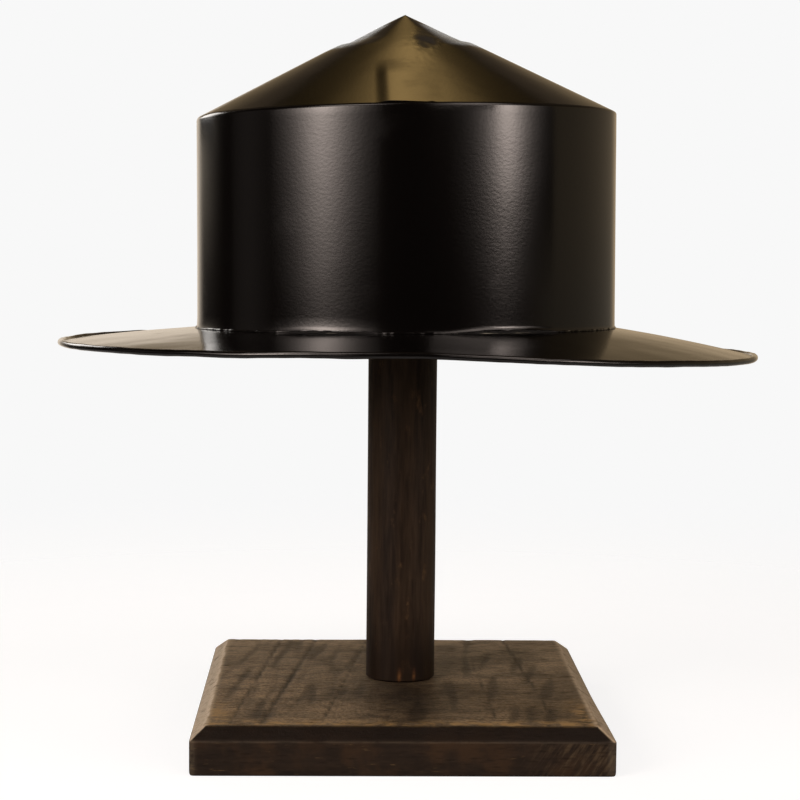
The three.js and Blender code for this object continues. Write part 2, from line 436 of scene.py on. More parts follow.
def get_points(piece, kind="co"):
    """The piece's points in its own frame, or with kind "normal" the directions in which they face."""
    flat = np.empty(3 * len(piece.data.vertices))
    piece.data.vertices.foreach_get(kind, flat)
    return flat.reshape(-1, 3)


def keep_values(piece, name, values):
    """Store a value for each point of the piece, which its material can read by that name."""
    piece.data.attributes.new(name, "FLOAT", "POINT").data.foreach_set("value", values)


x, y, _ = get_points(weld).T
burnt = ramp(foot_lift(np.arctan2(y, x) % math.tau), 0, BURNT_LIFT)
keep_values(weld, "burnt", burnt)
print(f"Burnt: {np.mean(burnt > 0.5):.1%} of the weld's points")

# %% [markdown]
# ## The cone
# The top is a cone of sheet, bent round and welded along one line a little to the left of the front.
# There the right side stands a fraction higher than the left. Its point was hammered in on both sides, so
# the outline has a steep cap and a narrow ledge before the straight slope. Each side is a table of how far
# the sheet has fallen at each radius, and every other mark is a height that is added to it.

# %% Sizes of the cone
CAP_RADII = np.array([0, 2.5, 12, 24, 31, 34.5, 43]) * MM
PLAIN_FALL = np.array([0, 1.1, 5.4, 10.8, 14.0, 15.6, 19.6]) * MM
LEFT_FALL = np.array([0, 1.1, 5.7, 11.9, 15.4, 15.7, 19.6]) * MM
RIGHT_FALL = np.array([0, 1.3, 5.9, 11.9, 15.1, 15.5, 19.6]) * MM
HAMMERED_SIDE = (0.2, 0.85)
SHARP_SIDE = (0.72, 0.96)
SIDE_SOFTNESS = 1 * MM
FRONT_SOFTNESS = 5 * MM
SOFT_SHARE = 0.35
SOFT_STEPS = np.linspace(-1, 1, 7)
CONE_TURNS = 560
TIP_HEIGHT = (WALL_RADIUS - CAP_RADII[-1]) * math.tan(CONE_SLOPE) + PLAIN_FALL[-1]

cone_angle = turn_angles(CONE_TURNS)
left_share = ramp(-np.cos(cone_angle), *HAMMERED_SIDE)
right_share = ramp(np.cos(cone_angle), *HAMMERED_SIDE)
side_share = ramp(np.abs(np.cos(cone_angle)), *SHARP_SIDE)
print(f"The point stands {TIP_HEIGHT / MM:.1f} mm over the wall's top")


# %% The cap and the slope
def cap_height(radius):
    """Height over the wall's top of the cap, or of the straight slope outside it."""
    plain, left, right = (np.interp(radius, CAP_RADII, f) for f in (PLAIN_FALL, LEFT_FALL, RIGHT_FALL))
    fall = plain + (left - plain) * left_share + (right - plain) * right_share
    slope = (WALL_RADIUS - radius) * math.tan(CONE_SLOPE)
    return np.where(radius > CAP_RADII[-1], slope, TIP_HEIGHT - fall)


def softened_height(radius):
    """The same with its corners softened, least at the sides: the mean of the heights near each point."""
    softness = FRONT_SOFTNESS + (SIDE_SOFTNESS - FRONT_SOFTNESS) * side_share
    reach = np.minimum(softness, SOFT_SHARE * radius)
    return np.mean([cap_height(np.abs(radius + step * reach)) for step in SOFT_STEPS], axis=0)


print(f"The cap's edge is {softened_height(CAP_RADII[-1]).mean() / MM:.1f} mm over the wall's top")

# %% [markdown]
# The cone's edge follows the curl of the wall at the width of the seam, not quite evenly, and has a small
# nick in front. The step at the weld, the rough weld beside the point, the fainter run of it down the
# front and the hammer's lumps are added to the height.

# %% The cone's edge
NICK_ANGLE = math.radians(274.9)
NICK_HALF_WIDTH = math.radians(1.2)
NICK_DEPTH = 0.8 * MM
EDGE_LUMPS = ((0.16 * MM, 7 * MM, 12),)

plain_edge = WALL_RADIUS - curl_radius(cone_angle) * (1 - math.cos(CURL_TURN)) - SEAM * math.cos(CONE_SLOPE)
nick = 1 - ramp(np.abs(cone_angle - NICK_ANGLE), 0, NICK_HALF_WIDTH)
cone_edge = plain_edge + uneven(ring_points(plain_edge, 0 * plain_edge), EDGE_LUMPS) - NICK_DEPTH * nick
print(f"The cone's edge is {cone_edge.min() / MM:.1f} to {cone_edge.max() / MM:.1f} mm from the axis")

# %% Marks of work on the cone
STEP_ACROSS = -14 * MM
STEP_HALF_WIDTH = 3.4 * MM
STEP_HEIGHT = 0.9 * MM
STEP_FADE = 30 * MM
STEP_START = (56 * MM, 78 * MM)
PATCH_MIDDLE = (10 * MM, -33 * MM)
PATCH_SIZE = (10 * MM, 19 * MM)
PATCH_EDGE = (0.55, 1)
PATCH_LUMPS = ((0.16 * MM, 2.6 * MM, 13),)
RUN_ACROSS = 5 * MM
RUN_EDGE = (5 * MM, 10 * MM)
RUN_START = (26 * MM, 36 * MM)
RUN_END = (50 * MM, 85 * MM)
RUN_LUMPS = ((0.06 * MM, 2.6 * MM, 23),)
CONE_LUMPS = ((0.1 * MM, 26 * MM, 14), (0.03 * MM, 9 * MM, 15))
CONE_LUMPS_START = (4 * MM, 20 * MM)


def from_patch(across, along):
    """Distance from the middle of the rough weld beside the point, where 1 is its edge."""
    return np.hypot((across - PATCH_MIDDLE[0]) / PATCH_SIZE[0], (along - PATCH_MIDDLE[1]) / PATCH_SIZE[1])


def worked_height(radius):
    """Height of the cone with the step at its weld, the rough weld by its point and the hammer's lumps."""
    plan = ring_points(radius, 0 * radius)
    across, along = plan[..., 0], plan[..., 1]
    high_side = ramp(across, STEP_ACROSS - STEP_HALF_WIDTH, STEP_ACROSS + STEP_HALF_WIDTH)
    near_step = (1 - ramp(across, STEP_ACROSS, STEP_ACROSS + STEP_FADE)) * ramp(-along, *STEP_START)
    in_patch = 1 - ramp(from_patch(across, along), *PATCH_EDGE)
    in_run = (1 - ramp(np.abs(across - RUN_ACROSS), *RUN_EDGE)) * ramp(-along, *RUN_START)
    in_run = in_run * (1 - ramp(-along, *RUN_END))
    rough = in_patch * uneven(plan, PATCH_LUMPS) + in_run * uneven(plan, RUN_LUMPS)
    hammered = ramp(radius, *CONE_LUMPS_START) * uneven(plan, CONE_LUMPS)
    return softened_height(radius) + STEP_HEIGHT * high_side * near_step + rough + hammered


# %% Build the cone
CAP_ROWS = 62
SLOPE_ROWS = 50
UNDER_STEP = 5

cap_rows = np.linspace(0, CAP_RADII[-1], CAP_ROWS)[None, :-1] + 0 * cone_edge
slope_rows = CAP_RADII[-1] + (cone_edge - CAP_RADII[-1]) * np.linspace(0, 1, SLOPE_ROWS)[None, :]
top_radius = np.concatenate([cap_rows, slope_rows], axis=1)
under_radius = top_radius[:, ::-UNDER_STEP] * (1 - SHEET * math.sin(CONE_SLOPE) / cone_edge)
under_radius[:, -1] = 0
under_height = worked_height(under_radius) - SHEET / math.cos(CONE_SLOPE)
cone_rows = np.concatenate([top_radius, under_radius], axis=1)
cone_heights = np.concatenate([worked_height(top_radius), under_height], axis=1)
CONE_PLACE = (
    HAT_PLACE
    @ Matrix.Translation((WALL_LEAN, 0, WALL_HEIGHT))
    @ Matrix.Rotation(-math.atan(WALL_RISE / (2 * WALL_RADIUS)), 4, "Y")
)
cone = round_piece("cone_sheet", cone_rows, cone_heights, CONE_PLACE, closed=False)

# %% [markdown]
# Both sides of the cap were ground bright. Their pale colour is partly the bare steel and partly a
# painted glint, which stands for the white room mirrored at the cap's sides. The rough weld on the cap's
# right is burnt matt. Both are kept as attributes of the mesh, with ragged edges.

# %% Mark the ground sides of the point with their painted glint, and its burnt weld
GROUND_GLINT_LEFT = (0.62, 0.98)
GROUND_GLINT_RIGHT = (0.45, 1)
GROUND_GLINT_START = (9 * MM, 15 * MM)
GROUND_GLINT_END = (37 * MM, 43 * MM)
GROUND_GLINT_LUMPS = ((1.2 * MM, 6 * MM, 21),)
BURNT_EDGE = (0.1, 1.2)
BURNT_LUMPS = ((0.4, 5 * MM, 22),)

cone_points = get_points(cone)
faces_up = get_points(cone, "normal")[:, 2] > 0
x, y, _ = cone_points.T
from_axis = np.hypot(x, y)
to_right = x / np.maximum(from_axis, 1 * MM)
ragged = from_axis + uneven(cone_points, GROUND_GLINT_LUMPS)
# Ground steel, partly a painted glint: pale towards the cap's left and right outlines.
ground_and_painted_glint = np.maximum(ramp(-to_right, *GROUND_GLINT_LEFT), ramp(to_right, *GROUND_GLINT_RIGHT))
ground_and_painted_glint *= ramp(ragged, *GROUND_GLINT_START) * (1 - ramp(ragged, *GROUND_GLINT_END)) * faces_up
burnt_edge = from_patch(x, y) + uneven(cone_points, BURNT_LUMPS)
keep_values(cone, "ground_and_painted_glint", ground_and_painted_glint)
keep_values(cone, "burnt", faces_up * (1 - ramp(burnt_edge, *BURNT_EDGE)) ** 2)
print(f"Ground bright: {np.mean(ground_and_painted_glint > 0.5):.1%} of the cone's points")

# %% [markdown]
# ## The post
# The post is a turned bar of dark stained wood. A bar shaped by hand has faint flats along it, and its
# foot is a little rubbed. The round end is hidden in the hat and carries it.

# %% Build the post
POST_TURNS = 192
POST_ROWS = 130
DOME_ROWS = 16
FOOT_EDGE = 0.7 * MM
FLAT_LENGTH = 0.12
FLAT_LUMPS = ((0.009, 9 * MM, 16),)

post_length = post_high.z - post_low.z
dome_height = post_length - post_radius
post_side = np.linspace(FOOT_EDGE, dome_height, POST_ROWS)[None, :]
dome_turn = np.linspace(0, math.pi / 2, DOME_ROWS)[None, 1:]
under_post = np.array([[0, post_radius / 2, post_radius - FOOT_EDGE]])
post_rows = [under_post, post_radius + 0 * post_side, post_radius * np.cos(dome_turn)]
post_heights = [0 * under_post, post_side, dome_height + post_radius * np.sin(dome_turn)]
every_turn = 0 * turn_angles(POST_TURNS)
post_rows = np.concatenate(post_rows, axis=1) + every_turn
post_heights = np.concatenate(post_heights, axis=1) + every_turn
post_rows[:, -1] = 0
flats = uneven(ring_points(post_rows, post_heights * FLAT_LENGTH), FLAT_LUMPS)
post_rows = post_rows * (1 + flats * ramp(post_rows, 0, post_radius))
POST_PLACE = Matrix.Translation((ball_middle.x, ball_middle.y, post_low.z))
post = round_piece("post_bar", post_rows, post_heights, POST_PLACE, closed=False)

# %% [markdown]
# The post is painted darker towards its foot, as painted shade where it stands on the board, and two
# scrapes in front show the wood's own colour. Each scrape is a row of a table: its angle and its reach round
# the post in degrees, and its height and its reach upwards in millimetres.

# %% Mark the post's foot
FOOT_SHADE_FADE = (10.2 * MM, 34 * MM)
SCRAPES = ((267, 2.6, 2.5, 3), (292, 2.2, 3, 2.5))


def near(value, middle, reach):
    """1 at the middle, fading out over the reach on both sides of it."""
    return np.exp(-(((value - middle) / reach) ** 2))


x, y, z = get_points(post).T
round_post = np.degrees(np.arctan2(y, x)) % 360
scraped = 0 * z
for middle, reach_round, height, reach_up in SCRAPES:
    scrape = near(round_post, middle, reach_round) * near(z, height * MM, reach_up * MM)
    scraped = np.maximum(scraped, scrape)
# Painted shade: the post darkens towards its foot.
keep_values(post, "painted_shade", 1 - ramp(z, *FOOT_SHADE_FADE))
keep_values(post, "golden", scraped)
print(f"Post marked with {len(SCRAPES)} scrapes")

# %% [markdown]
# ## The board
# The board is sawn, chamfered along its top, stained dark and rubbed at its edges. It starts as six grids
# of a box, whose lines crowd towards the edges. Its upright corners are rounded, and each point is then
# drawn in by the chamfer at its height. A Bevel modifier would make the chamfer as well, but dead straight.

# %% A box of six grids
CROWD_STEPS = np.array([0, 0.12, 0.3, 0.55, 0.9, 1.4, 2.1, 3, 4.2, 5.8]) * MM
BOARD_STEP = 1.6 * MM


def crowded(low, high):
    """Lines from low to high, an even step apart, with closer ones at both ends."""
    middle_count = max(2, round((high - low - 2 * CROWD_STEPS[-1]) / BOARD_STEP))
    middle = np.linspace(low + CROWD_STEPS[-1], high - CROWD_STEPS[-1], middle_count)
    return np.concatenate([low + CROWD_STEPS[:-1], middle, high - CROWD_STEPS[-2::-1]])


def box_grid(lines):
    """Points and faces of the six sides of a box, each a grid on those lines."""
    points, faces = [], []
    for axis in range(3):
        first, second = (lines[i] for i in range(3) if i != axis)
        for end in (lines[axis][0], lines[axis][-1]):
            a, b = np.meshgrid(first, second, indexing="ij")
            grid = np.insert(np.stack([a, b], axis=-1), axis, end, axis=-1)
            index = np.arange(a.size).reshape(a.shape) + sum(len(p) for p in points)
            corners = [index[:-1, :-1], index[1:, :-1], index[1:, 1:], index[:-1, 1:]]
            points.append(grid.reshape(-1, 3))
            faces.append(np.stack(corners, axis=-1).reshape(-1, 4))
    return np.concatenate(points), np.concatenate(faces)


# %% Lines of the board
CHAMFER_WIDTH = 7.5 * MM
CHAMFER_HEIGHT = 6.1 * MM
CHAMFER_SHARES = np.array([0, 0.06, 0.16, 0.32, 0.5, 0.68, 0.84, 0.94, 1])

board_low, board_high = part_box("stand_base")
board_middle = (board_low + board_high) / 2
half_wide, half_deep = (board_high - board_low).x / 2, (board_high - board_low).y / 2
board_thick = board_high.z - board_low.z
side_top = board_thick - CHAMFER_HEIGHT
chamfer_lines = side_top + CHAMFER_SHARES * CHAMFER_HEIGHT
upright_lines = np.concatenate([crowded(0, side_top)[:-1], chamfer_lines])
box_points, box_faces = box_grid(
    [crowded(-half_wide, half_wide), crowded(-half_deep, half_deep), upright_lines]
)
print("The board's box has", len(box_faces), "faces")

# %% Round the corners and cut the chamfer
CORNER_RADIUS = 1.8 * MM
CORNER_PROUD = 1.2 * MM
CHAMFER_LUMPS = ((0.8 * MM, 15 * MM, 17), (0.5 * MM, 4 * MM, 18))

core = np.clip(
    box_points,
    [CORNER_RADIUS - half_wide, CORNER_RADIUS - half_deep, CORNER_RADIUS],
    [half_wide - CORNER_RADIUS, half_deep - CORNER_RADIUS, board_thick],
)
out = box_points - core
rounding = np.abs(out).max(axis=1) / np.maximum(np.linalg.norm(out, axis=1), 1e-9)
rounded = core + out * rounding[:, None]
plan, height = rounded[:, :2], rounded[:, 2]
chamfer_share = np.clip((height - side_top) / CHAMFER_HEIGHT, 0, 1)
inset = (CHAMFER_WIDTH + uneven(box_points, CHAMFER_LUMPS)) * chamfer_share
plan = plan * (1 - inset[:, None] / np.array([half_wide, half_deep]))
to_corner = ramp(plan[:, 0], 0, half_wide) * ramp(-plan[:, 1], 0, half_deep)
plan[:, 0] += CORNER_PROUD * to_corner
BOARD_PLACE = Matrix.Translation((board_middle.x, board_middle.y, board_low.z))
board = mesh_piece("board_block", np.column_stack([plan, height]), box_faces, BOARD_PLACE)

# %% [markdown]
# Smoothing pulls each point towards its neighbours. On the flat faces nothing shows, and at the edges,
# where the lines crowd, it takes off the sharp corner as wear does.

# %% Rub the board's edges
EDGE_RUBS = 5
RUB_STRENGTH = 0.5

shape = bmesh.new()
shape.from_mesh(board.data)
for _ in range(EDGE_RUBS):
    bmesh.ops.smooth_vert(
        shape, verts=shape.verts, factor=RUB_STRENGTH, use_axis_x=True, use_axis_y=True, use_axis_z=True
    )
shape.to_mesh(board.data)
shape.free()
board_points = get_points(board)
board_points[:, 2] *= board_thick / np.ptp(board_points[:, 2])
board_points[:, 2] -= board_points[:, 2].min()
print("Board edges rubbed", EDGE_RUBS, "times")

# %% [markdown]
# The saw left marks across the top, nearly at right angles to the grain. A few long ones stand in a table,
# in millimetres: where each starts in front and ends at the back, and half its width. Noise that is
# stretched along them adds the many faint ones. Each mark is a real groove.

# %% Saw marks in the board's top
LONG_MARKS = ((-69, -43, 1.4), (-84, -63, 0.9), (-40, -14, 0.5), (76, 63, 0.9), (47, 40, 0.4))
LONG_MARK_DEPTH = 0.4 * MM
LONG_MARK_LUMPS = 22 * MM
FAINT_MARK_DEPTH = 0.22 * MM
FAINT_MARK_WIDTH = 6
FAINT_MARK_LENGTH = 55
FAINT_MARK_TILT = 0.1

x, y, z = board_points.T
on_top = ramp(z, board_thick - 0.5 * MM, board_thick - 0.1 * MM)
backward = (y + half_deep) / (2 * half_deep)
sawn = 0 * x
for front_x, back_x, half_width in LONG_MARKS:
    off = np.abs(x - front_x * MM - (back_x - front_x) * MM * backward) / (half_width * MM)
    strength = np.clip(0.75 + 0.6 * lumps(board_points, LONG_MARK_LUMPS, 19 + front_x), 0, 1)
    sawn = np.maximum(sawn, (1 - ramp(off, 0.2, 1.6)) * strength)
across_marks = (x - FAINT_MARK_TILT * y) / FAINT_MARK_WIDTH
along_marks = np.column_stack([across_marks, y / FAINT_MARK_LENGTH, 0 * z])
faint = ramp(lumps(along_marks, 1 * MM, 20), 0.05, 0.5)
board_points[:, 2] -= on_top * (LONG_MARK_DEPTH * sawn + FAINT_MARK_DEPTH * faint)
board.data.vertices.foreach_set("co", board_points.ravel())
print(f"Saw marks reach {(LONG_MARK_DEPTH + FAINT_MARK_DEPTH) / MM:.2f} mm deep")

# %% [markdown]
# The saw marks, the rubbed top, the bare edges and the scored right end of the front are kept as
# attributes of the mesh, for the wood's colour to follow, and so are painted light and painted shade. The
# painted light is the paler back of the top, the paler side chamfers and a thin line under the front
# chamfer. The painted shade is the post's shadow on the top in front of it and the darker front and back
# chamfers; a dark line runs along the top's front edge as well. Most start from a place's distance to the
# edge of the top, and from the mitre where two chamfers meet.

# %% Mark the board's wear, painted light and painted shade
POST_SHADOW_SIZE = (24 * MM, 62 * MM)
POST_SHADOW_IN_FRONT = 2.6 * post_radius

from_edge = np.minimum(half_wide - CHAMFER_WIDTH - np.abs(x), half_deep - CHAMFER_WIDTH - np.abs(y))
past_mitre = np.abs(x) - half_wide - np.abs(y) + half_deep
on_chamfer = ramp(z, side_top - 0.3 * MM, side_top + 0.5 * MM) * (1 - on_top)
side_chamfer = on_chamfer * ramp(past_mitre, -0.6 * MM, 0.6 * MM)
front_share = ramp(-y, 0.3 * half_deep, 0.8 * half_deep)
on_front = ramp(-y, half_deep - 1.5 * MM, half_deep - 0.5 * MM) * (1 - ramp(z, side_top - 1 * MM, side_top))
stained_edge = front_share * (past_mitre < 0) * near(from_edge, 0, 2 * MM)
top_edge = near(from_edge, 0, 1.3 * MM) * ramp(z, board_thick - 2 * MM, board_thick - 0.6 * MM)
# Painted highlight: a thin pale line just under the front chamfer.
under_chamfer_highlight = near(z, side_top, 0.5 * MM) * (y < 0)
upright_corner = ramp(np.abs(x) - half_wide + np.abs(y) - half_deep, -4 * MM, -1.5 * MM) * (1 - on_top)
# Painted shade: the post's shadow on the top in front of it, and the front and back chamfers darkened.
post_x, post_y = ball_middle.x - board_middle.x, ball_middle.y - board_middle.y
from_post_shadow = np.hypot((x - post_x) / POST_SHADOW_SIZE[0], (y - post_y + POST_SHADOW_IN_FRONT) / POST_SHADOW_SIZE[1])
board_shade = np.maximum(on_top * near(from_post_shadow, 0, 1), on_chamfer - side_chamfer)
# The side chamfers' paler colour is painted light; the top's side edges and the upright corners are wear.
bare_and_painted_light = 0.8 * side_chamfer + 0.9 * top_edge * (past_mitre > 0) + 0.05 * under_chamfer_highlight + 0.08 * upright_corner
# Painted light: the top's paler back and the side chamfers. Painted shade: the post's shadow and the front
# and back chamfers.
board_wear = {
    "sawn": np.maximum(sawn, 0.6 * faint) * on_top,
    "rubbed_and_painted_light": np.maximum(on_top, 0.5 * side_chamfer),
    "painted_shade": np.maximum(board_shade, stained_edge),
    "bare_and_painted_light": np.clip(bare_and_painted_light, 0, 1),
    "golden": front_share * near(from_edge, 4 * MM, 7 * MM) * on_top,
    "scored": on_front * ramp(x, 0.5 * half_wide, 0.85 * half_wide),
    "painted_back_light": on_top * backward**2,
}
for name, values in board_wear.items():
    keep_values(board, name, values)
print("Board marked as", ", ".join(board_wear))

# %% [markdown]
# ## Finishes: effects that several materials share
# A node group is a finish's building block. It has named inputs and outputs, and each material places it
# with its own values. Three are needed: specks, which are the pores and pits of the wood; long fibres,
# for the post and the board; and worn patches, which break up an edge or a face of wood or paint.

# %% Helpers for node trees
def add_node(tree, kind, settings=(), **inputs):
    """A new node with its settings, and its inputs set to a value or linked to another node's output. An
    input goes by its name, with _ for a space, or by n and its number."""
    node = tree.nodes.new(kind)
    for name, value in dict(settings).items():
        setattr(node, name, value)
    for name, value in inputs.items():
        key = int(name[1:]) if name[0] == "n" and name[1:].isdigit() else name.replace("_", " ")
        if isinstance(value, bpy.types.NodeSocket):
            tree.links.new(value, node.inputs[key])
        else:
            node.inputs[key].default_value = value
    return node


def calculate(tree, operation, *values):
    """The result of one step of arithmetic."""
    inputs = {f"n{number}": value for number, value in enumerate(values)}
    return add_node(tree, "ShaderNodeMath", {"operation": operation}, **inputs).outputs[0]


def map_values(tree, value, start, end, first=0.0, second=1.0, kind="LINEAR"):
    """A number that goes from the first to the second as the value goes from start to end."""
    return add_node(
        tree, "ShaderNodeMapRange", {"interpolation_type": kind},
        Value=value, From_Min=start, From_Max=end, To_Min=first, To_Max=second,
    ).outputs["Result"]


def noise_value(tree, **inputs):
    """Noise from 0 to 1, mostly near its middle."""
    return add_node(tree, "ShaderNodeTexNoise", **inputs).outputs["Fac"]


# %% Start a node group
FLOAT, VECTOR = "NodeSocketFloat", "NodeSocketVector"


def new_group(name, inputs, outputs):
    """An empty shader node group with float or vector inputs and float outputs, and its two end nodes."""
    group = bpy.data.node_groups.new(name, "ShaderNodeTree")
    for socket, kind in inputs.items():
        group.interface.new_socket(socket, in_out="INPUT", socket_type=kind)
    for socket in outputs:
        group.interface.new_socket(socket, in_out="OUTPUT", socket_type=FLOAT)
    print("Group", name)
    return group, group.nodes.new("NodeGroupInput").outputs, group.nodes.new("NodeGroupOutput").inputs


# %% Specks and pits
specks, given, result = new_group("specks", {"Vector": VECTOR, "Scale": FLOAT, "Size": FLOAT}, ["Mask"])
place = {"Vector": given["Vector"], "Scale": given["Scale"]}
cells = add_node(specks, "ShaderNodeTexVoronoi", Randomness=1.0, **place)
width = calculate(specks, "MULTIPLY", noise_value(specks, Detail=2.0, **place), given["Size"])
speck = map_values(specks, cells.outputs["Distance"], 0.0, width, 1.0, 0.0, "SMOOTHSTEP")
specks.links.new(speck, result["Mask"])

# %% Long fibres
fibres, given, result = new_group("fibres", {"Vector": VECTOR}, ["Tone", "Height"])
place = given["Vector"]
bands = noise_value(fibres, Vector=place, Scale=0.35, Detail=3.0, Distortion=0.6)
threads = noise_value(fibres, Vector=place, Scale=1.6, Detail=6.0, Roughness=0.62)
mixed = add_node(fibres, "ShaderNodeMix", Factor=0.55, A=bands, B=threads)
fibres.links.new(mixed.outputs["Result"], result["Tone"])
fibres.links.new(threads, result["Height"])

# %% Worn patches
WORN_START = 0.8
WORN_EDGE = 0.22

patch_inputs = {"Vector": VECTOR, "Scale": FLOAT, "Amount": FLOAT}
patches, given, result = new_group("worn_patches", patch_inputs, ["Mask"])
place = {"Vector": given["Vector"], "Scale": given["Scale"]}
cloud = noise_value(patches, Detail=5.0, Roughness=0.6, **place)
start = calculate(patches, "SUBTRACT", WORN_START, given["Amount"])
end = calculate(patches, "ADD", start, WORN_EDGE)
worn = map_values(patches, cloud, start, end, kind="SMOOTHSTEP")
patches.links.new(worn, result["Mask"])


# %% Start a material, and place a group in it
def new_material(name):
    """A node material with its shader, and the coordinates of the piece that it covers."""
    material = bpy.data.materials.new(name)
    material.use_nodes = True
    tree = material.node_tree
    where = add_node(tree, "ShaderNodeTexCoord").outputs["Object"]
    print("Material", name)
    return material, tree, tree.nodes["Principled BSDF"], where


def place_group(tree, group, **inputs):
    """The outputs of a node group in a material."""
    return add_node(tree, "ShaderNodeGroup", {"node_tree": group}, **inputs).outputs


def worn_mask(tree, where, scale, amount):
    """Worn patches, finer for a larger scale and more of them for a larger amount."""
    return place_group(tree, patches, Vector=where, Scale=scale, Amount=amount)["Mask"]


def stretched(tree, where, scale):
    """Coordinates scaled along each axis, so that a texture is drawn out along the smallest."""
    return add_node(tree, "ShaderNodeMapping", Vector=where, Scale=scale).outputs[0]


def mesh_value(tree, name):
    """The value that the mesh keeps by that name."""
    return add_node(tree, "ShaderNodeAttribute", {"attribute_name": name}).outputs["Fac"]


def bump(tree, height, depth, **inputs):
    """A surface that looks as uneven as the height, which is 0 to 1, over that depth."""
    return add_node(tree, "ShaderNodeBump", Height=height, Distance=depth, **inputs).outputs[0]


# %% Blend colours and values
def blend_values(tree, share, first, second):
    """A number that goes from the first to the second as the share goes from 0 to 1."""
    return map_values(tree, share, 0.0, 1.0, first, second)


def blend_colours(tree, share, first, second):
    """A colour that goes from the first to the second as the share goes from 0 to 1."""
    mix = add_node(tree, "ShaderNodeMix", {"data_type": "RGBA"}, n0=share, n6=first, n7=second)
    return mix.outputs[2]


def tint(tree, colour, other, mask, strength):
    """The colour, brought towards another by that strength where the mask is 1."""
    return blend_colours(tree, blend_values(tree, mask, 0.0, strength), colour, other)


def worn_share(tree, where, name, scale, amount):
    """The mesh's value of that name, broken up into patches of wear."""
    return calculate(tree, "MULTIPLY", mesh_value(tree, name), worn_mask(tree, where, scale, amount))


# %% [markdown]
# ## Black paint
# The plates are sprayed a glossy black. Sprayed paint dries with a fine orange peel, which breaks up the
# edges of a reflection, and handling leaves duller scuffs. Where the paint is ground off, the colour is a
# pale steel that is only partly Metallic and rough: partly the bare steel, and partly a painted glint that
# stands for the white room mirrored there. The burnt welds are rougher still. One material holds all of
# these, because they run into each other, and the attributes of the meshes say which is where.

# %% Make the black paint
BLACK = (0.0016, 0.0012, 0.001, 1)
PALE_STEEL_AND_GLINT = (0.76, 0.9, 1.0, 1)
STEEL_METALLIC = 0.4
PAINT_ROUGHNESS = 0.15
SCUFF_ROUGHNESS = 0.21
STEEL_ROUGHNESS = 0.4
BURNT_ROUGHNESS = 0.7
PEEL_FINENESS = (560.0, 560.0, 760.0)
PEEL_DEPTH = 0.000024

paint, tree, shader, where = new_material("satin_black")
scuffs = worn_mask(tree, where, 38.0, 0.24)
ground_and_glint_share = mesh_value(tree, "ground_and_painted_glint")
roughness = blend_values(tree, scuffs, PAINT_ROUGHNESS, SCUFF_ROUGHNESS)
roughness = blend_values(tree, ground_and_glint_share, roughness, STEEL_ROUGHNESS)
roughness = blend_values(tree, mesh_value(tree, "burnt"), roughness, BURNT_ROUGHNESS)
peel = noise_value(tree, Vector=stretched(tree, where, PEEL_FINENESS), Scale=1.0, Detail=2.0)
peel_bump = bump(tree, peel, PEEL_DEPTH, Strength=1.0)
# Painted glint: pale steel where the paint is ground off.
tree.links.new(blend_colours(tree, ground_and_glint_share, BLACK, PALE_STEEL_AND_GLINT), shader.inputs["Base Color"])
tree.links.new(blend_values(tree, ground_and_glint_share, 0.0, STEEL_METALLIC), shader.inputs["Metallic"])
tree.links.new(roughness, shader.inputs["Roughness"])
tree.links.new(peel_bump, shader.inputs["Normal"])

# %% [markdown]
# ## Stained wood
# Post and board are the same sort of wood under a dark stain. The fibres group needs coordinates that
# are stretched along the grain, which a Mapping node gives: along Z for the post, along X for the board.
# On the post the stain is rubbed paler in patches and has small golden flecks.

# %% Make the post's wood
POST_DARK = (0.011, 0.0057, 0.0027, 1)
POST_LIGHT = (0.046, 0.028, 0.015, 1)
POST_FLECK = (0.15, 0.082, 0.034, 1)
POST_SCRAPED = (0.16, 0.07, 0.025, 1)
POST_GRAIN = (300.0, 300.0, 26.0)
POST_FLECK_STRETCH = (1.0, 1.0, 0.45)

post_wood, tree, shader, where = new_material("stained_post")
grain = stretched(tree, where, POST_GRAIN)
fibre = place_group(tree, fibres, Vector=grain)
pores = place_group(tree, specks, Vector=grain, Scale=1.4, Size=0.6)["Mask"]
rubs = worn_mask(tree, where, 60.0, 0.22)
flecks = worn_mask(tree, stretched(tree, where, POST_FLECK_STRETCH), 170.0, 0.22)
stain = map_values(tree, fibre["Tone"], 0.38, 0.64)
tone = calculate(tree, "MULTIPLY_ADD", rubs, 0.4, stain)
wood = blend_colours(tree, tone, POST_DARK, POST_LIGHT)
wood = tint(tree, wood, POST_FLECK, flecks, 0.7)
# Painted shade: darker towards the post's foot.
wood = tint(tree, wood, POST_DARK, mesh_value(tree, "painted_shade"), 0.7)
wood = blend_colours(tree, worn_share(tree, where, "golden", 420.0, 0.5), wood, POST_SCRAPED)
fibre_bump = bump(tree, fibre["Height"], 0.3 * MM, Strength=0.7)
shader.inputs["Specular IOR Level"].default_value = 0.15
tree.links.new(wood, shader.inputs["Base Color"])
tree.links.new(blend_values(tree, pores, 0.55, 0.75), shader.inputs["Roughness"])
tree.links.new(fibre_bump, shader.inputs["Normal"])

# %% [markdown]
# The board's top is rubbed paler than its sides, the saw marks hold the dark stain, and the front edge of
# the top is worn to a golden brown. The side chamfers are painted nearly as pale as bare wood and the back
# of the top paler, as painted light, and the post's shadow and the front and back chamfers darker, as
# painted shade. These follow the mesh's attributes, broken up by noise. The scratches at the right end of
# the front are such noise too, turned to their slant and drawn out along it.

# %% The board's grain and blotches
BOARD_GRAIN = (60.0, 330.0, 330.0)
SCRAPE_STRETCH = (1.0, 6.0, 9.0)
SCRATCH_TURN = (0.0, math.radians(-56), 0.0)
SCRATCH_STRETCH = (0.8, 0.2, 0.13)

